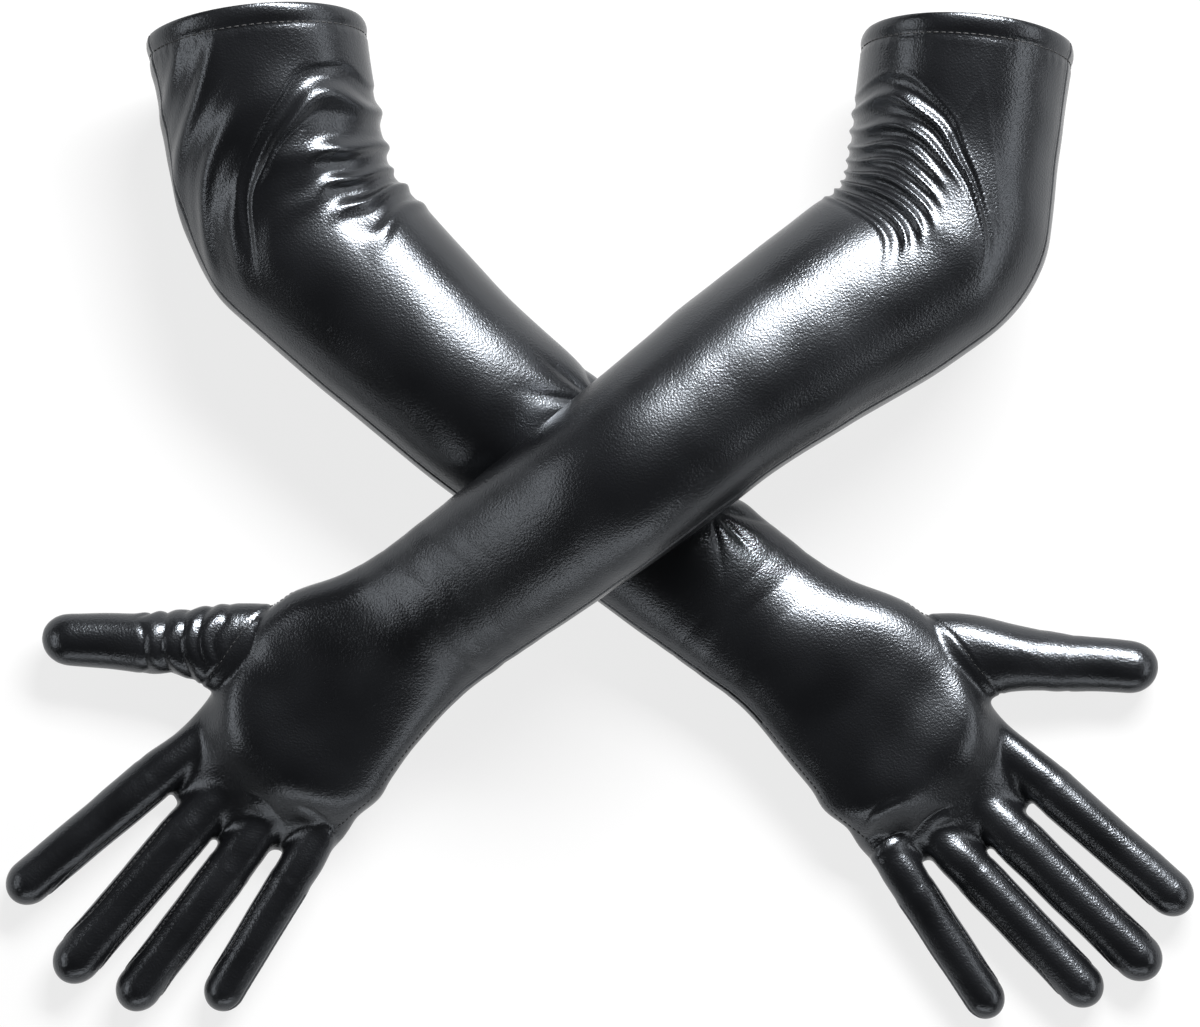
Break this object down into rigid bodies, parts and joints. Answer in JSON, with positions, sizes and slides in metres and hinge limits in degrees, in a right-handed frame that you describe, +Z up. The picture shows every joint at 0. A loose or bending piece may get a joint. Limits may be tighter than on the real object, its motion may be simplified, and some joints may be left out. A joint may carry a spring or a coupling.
{
  "type": "pair of opera gloves",
  "caption": "Pair of elbow-length dress gloves in black coated stretch fabric, palms up and crossed at the forearms, filled out as worn, with set-in thumbs and fourchettes.",
  "frame": {"origin": "on the surface the pair lies on, under the centre of its bounding box", "axes": "+Z up; +Y towards the arm openings; +X across the pair, towards the left glove's hand"},
  "size_m": [0.4903, 0.416, 0.1181],
  "materials": {
    "coated_fabric": "glossy wet-look coated stretch fabric",
    "lining": "brushed knit backing",
    "thread": "matt sewing thread"
  },
  "bodies": {
    "left_forearm": {"left_elbow": "coated_fabric", "left_forearm": "coated_fabric", "left_wrist": "coated_fabric", "left_elbow_seam_thread": "thread", "left_forearm_seam_thread": "thread"},
    "left_upper": {"left_upper_sleeve": "coated_fabric", "left_hem_fold": "lining", "left_hem_thread": "thread", "left_upper_seam_thread": "thread"},
    "left_hand": {"left_palm": "coated_fabric", "left_palm_seam_thread": "thread", "left_thumb_seam_thread": "thread"},
    "left_index": {"left_index_outward_fourchette": "coated_fabric", "left_index_cover": "coated_fabric"},
    "left_middle": {"left_middle_thumbward_fourchette": "coated_fabric", "left_middle_outward_fourchette": "coated_fabric", "left_middle_cover": "coated_fabric"},
    "left_ring": {"left_ring_thumbward_fourchette": "coated_fabric", "left_ring_outward_fourchette": "coated_fabric", "left_ring_cover": "coated_fabric"},
    "left_little": {"left_little_thumbward_fourchette": "coated_fabric", "left_little_cover": "coated_fabric"},
    "left_thumb": {"left_thumb": "coated_fabric"},
    "right_forearm": {"right_elbow": "coated_fabric", "right_forearm": "coated_fabric", "right_wrist": "coated_fabric", "right_elbow_seam_thread": "thread", "right_forearm_seam_thread": "thread"},
    "right_upper": {"right_upper_sleeve": "coated_fabric", "right_hem_fold": "lining", "right_hem_thread": "thread", "right_upper_seam_thread": "thread"},
    "right_hand": {"right_palm": "coated_fabric", "right_palm_seam_thread": "thread", "right_thumb_seam_thread": "thread"},
    "right_index": {"right_index_outward_fourchette": "coated_fabric", "right_index_cover": "coated_fabric"},
    "right_middle": {"right_middle_thumbward_fourchette": "coated_fabric", "right_middle_outward_fourchette": "coated_fabric", "right_middle_cover": "coated_fabric"},
    "right_ring": {"right_ring_thumbward_fourchette": "coated_fabric", "right_ring_outward_fourchette": "coated_fabric", "right_ring_cover": "coated_fabric"},
    "right_little": {"right_little_thumbward_fourchette": "coated_fabric", "right_little_cover": "coated_fabric"},
    "right_thumb": {"right_thumb": "coated_fabric"}
  },
  "joints": [
    {"name": "glove_lift", "type": "slide", "parent": "left_forearm", "child": "right_forearm", "axis": [0, 0, 1], "range_m": [0, 0.2]},
    {"name": "left_elbow_fold", "type": "hinge", "parent": "left_forearm", "child": "left_upper", "pos_m": [-0.12992, 0.11655, 0.0346], "axis": [0, 0, -1], "range_deg": [-40, 50], "deforming": ["left_elbow", "left_elbow_seam_thread"]},
    {"name": "left_wrist_fold", "type": "hinge", "parent": "left_forearm", "child": "left_hand", "pos_m": [0.06072, -0.03893, 0.01829], "axis": [-0.6481, -0.7615, 0], "range_deg": [0, 60], "deforming": ["left_wrist"]},
    {"name": "left_index_fold", "type": "hinge", "parent": "left_hand", "child": "left_index", "pos_m": [0.18189, -0.10948, 0.01954], "axis": [-0.6613, -0.7501, 0], "range_deg": [0, 75]},
    {"name": "left_middle_fold", "type": "hinge", "parent": "left_hand", "child": "left_middle", "pos_m": [0.16886, -0.13096, 0.02005], "axis": [-0.6997, -0.7145, 0], "range_deg": [0, 75]},
    {"name": "left_ring_fold", "type": "hinge", "parent": "left_hand", "child": "left_ring", "pos_m": [0.14807, -0.1415, 0.01954], "axis": [-0.7242, -0.6896, 0], "range_deg": [0, 75]},
    {"name": "left_little_fold", "type": "hinge", "parent": "left_hand", "child": "left_little", "pos_m": [0.12401, -0.14663, 0.02056], "axis": [-0.8377, -0.5461, 0], "range_deg": [0, 75]},
    {"name": "left_thumb_fold", "type": "hinge", "parent": "left_hand", "child": "left_thumb", "pos_m": [0.14399, -0.0599, 0.02583], "axis": [0.7615, -0.6481, 0], "range_deg": [0, 60], "deforming": ["left_thumb_seam_thread"]},
    {"name": "right_elbow_fold", "type": "hinge", "parent": "right_forearm", "child": "right_upper", "pos_m": [0.13714, 0.11247, 0.04848], "axis": [0, 0, 1], "range_deg": [-40, 50], "deforming": ["right_elbow", "right_elbow_seam_thread"]},
    {"name": "right_wrist_fold", "type": "hinge", "parent": "right_forearm", "child": "right_hand", "pos_m": [-0.06087, -0.03351, 0.04685], "axis": [-0.6613, 0.7501, 0], "range_deg": [0, 60], "deforming": ["right_wrist"]},
    {"name": "right_index_fold", "type": "hinge", "parent": "right_hand", "child": "right_index", "pos_m": [-0.18078, -0.10616, 0.01954], "axis": [-0.6414, 0.7672, 0], "range_deg": [0, 75]},
    {"name": "right_middle_fold", "type": "hinge", "parent": "right_hand", "child": "right_middle", "pos_m": [-0.16738, -0.12741, 0.02005], "axis": [-0.7593, 0.6508, 0], "range_deg": [0, 75]},
    {"name": "right_ring_fold", "type": "hinge", "parent": "right_hand", "child": "right_ring", "pos_m": [-0.14641, -0.13759, 0.01954], "axis": [-0.7976, 0.6032, 0], "range_deg": [0, 75]},
    {"name": "right_little_fold", "type": "hinge", "parent": "right_hand", "child": "right_little", "pos_m": [-0.12227, -0.1423, 0.02044], "axis": [-0.8563, 0.5165, 0], "range_deg": [0, 75]},
    {"name": "right_thumb_fold", "type": "hinge", "parent": "right_hand", "child": "right_thumb", "pos_m": [-0.14376, -0.05592, 0.02901], "axis": [0.7501, 0.6613, 0], "range_deg": [0, 60], "deforming": ["right_thumb_seam_thread"]}
  ]
}
